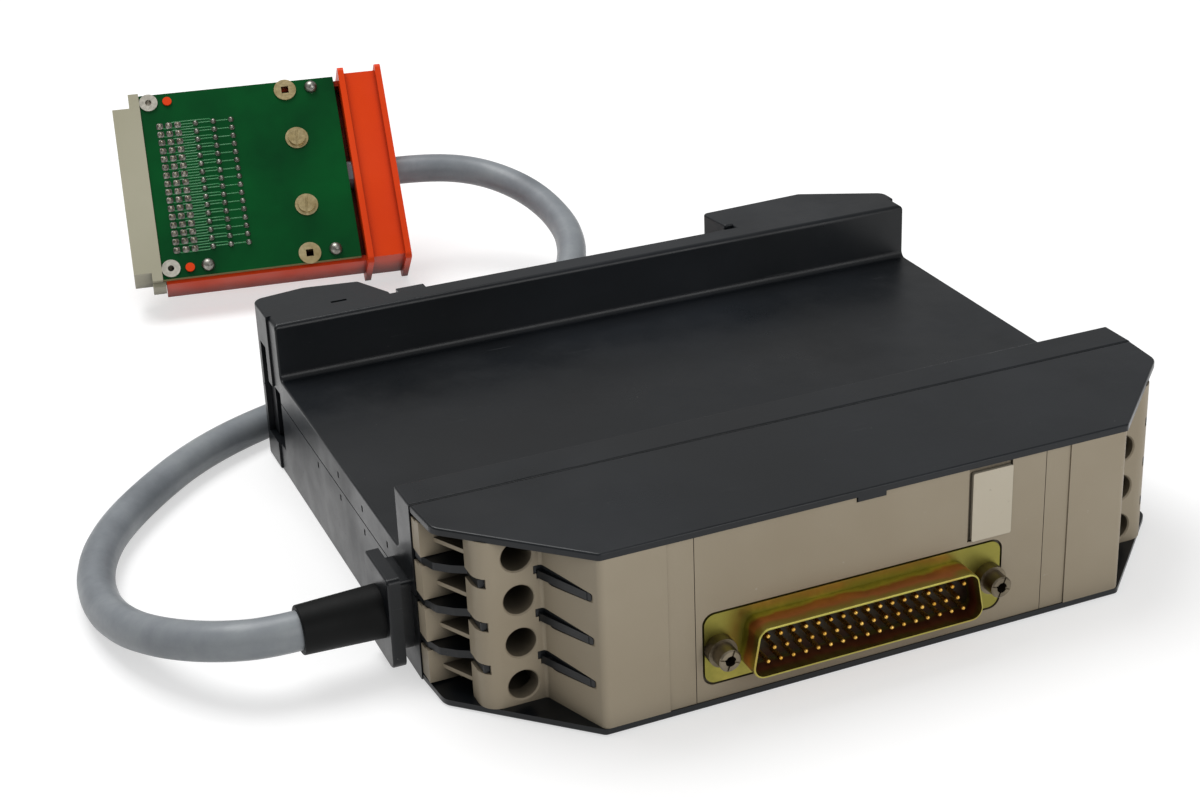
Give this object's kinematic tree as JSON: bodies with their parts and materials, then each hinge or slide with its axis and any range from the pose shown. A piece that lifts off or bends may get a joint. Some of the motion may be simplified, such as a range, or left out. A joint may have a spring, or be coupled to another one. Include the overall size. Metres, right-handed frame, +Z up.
{
  "type": "plc cable adapter module",
  "caption": "Rail-mounted automation adapter module with a D-sub plug, screw terminals, a sprung rail latch and a grey cable to an orange plug-in connector board",
  "frame": {"origin": "bottom centre of the module as it lies on its side, measured without the cable, its gland and its plug", "axes": "+X along the front face towards the fixed rail hook, +Y from the front face to the rail side, +Z up out of the lying module"},
  "size_m": [0.2272, 0.2973, 0.0577],
  "materials": {
    "black_housing": "moulded black ABS, fine satin grain",
    "beige_cover": "moulded beige plastic, aged",
    "label_white": "blank white label plate",
    "yellow_zinc": "yellow-chromated zinc plated steel",
    "gold_contact": "gold plated contacts",
    "insulator": "dark moulded insulator",
    "nickel": "nickel plated steel",
    "board_green": "solder resist over glass laminate",
    "brass_plated": "brass, dull",
    "rubber_boot": "black rubber",
    "cable_grey": "grey PVC jacket",
    "wire_insulation": "PVC insulated cores",
    "connector_cream": "cream moulded connector",
    "case_orange": "orange moulded plastic",
    "solder_tin": "tin solder",
    "spring_steel": "spring steel wire"
  },
  "bodies": {
    "module": {"base_shell": "black_housing", "top_shell": "black_housing", "shell_screws": "nickel", "latch_spring": "spring_steel", "front_cover": "beige_cover", "terminal_fins": "black_housing", "cheek_bottom": "black_housing", "cheek_top": "black_housing", "centre_faceplate": "beige_cover", "label_plate": "label_white", "dsub_shell": "yellow_zinc", "dsub_insulator": "insulator", "dsub_pins": "gold_contact", "solder_board": "board_green", "dsub_screw_locks": "nickel", "dsub_nuts": "nickel", "earth_bar": "brass_plated", "gland_plate": "black_housing", "gland_boot": "rubber_boot", "cable_entry": "cable_grey", "clamp_seat": "black_housing", "clamp_strap": "black_housing", "clamp_screws": "nickel", "wire_bundles": "wire_insulation", "plug_board": "board_green", "plug_connector": "connector_cream", "plug_contacts": "gold_contact", "plug_wire_pins": "solder_tin", "plug_rivets": "nickel", "plug_eyelets": "brass_plated", "plug_screws": "brass_plated", "plug_posts": "solder_tin", "plug_tray": "case_orange", "plug_handle": "case_orange", "plug_cable_end": "cable_grey", "plug_clamp_bar": "brass_plated", "plug_wires": "wire_insulation", "cable": "cable_grey"},
    "latch": {"latch_slide": "black_housing"},
    "earth_clamp_plate": {"earth_clamp": "nickel"},
    "earth_screw_body": {"earth_screw": "nickel"}
  },
  "joints": [
    {"name": "latch_pull", "type": "slide", "parent": "module", "child": "latch", "axis": [-1, 0, 0], "range_m": [0, 0.0045], "stiffness_N_per_m": 600, "springref_m": -0.002, "deforming": ["latch_spring"]},
    {"name": "clamp_lift", "type": "slide", "parent": "module", "child": "earth_clamp_plate", "axis": [0, -1, 0], "range_m": [0, 0.003]},
    {"name": "earth_screw_turn", "type": "hinge", "parent": "earth_clamp_plate", "child": "earth_screw_body", "pos_m": [-0.0696, -0.0503, 0.00568], "axis": [0, -1, 0], "range_deg": [0, 1800]}
  ],
  "couplings": [
    {"joint": "earth_screw_turn", "follows": "clamp_lift", "rad_per_m": 10472}
  ]
}
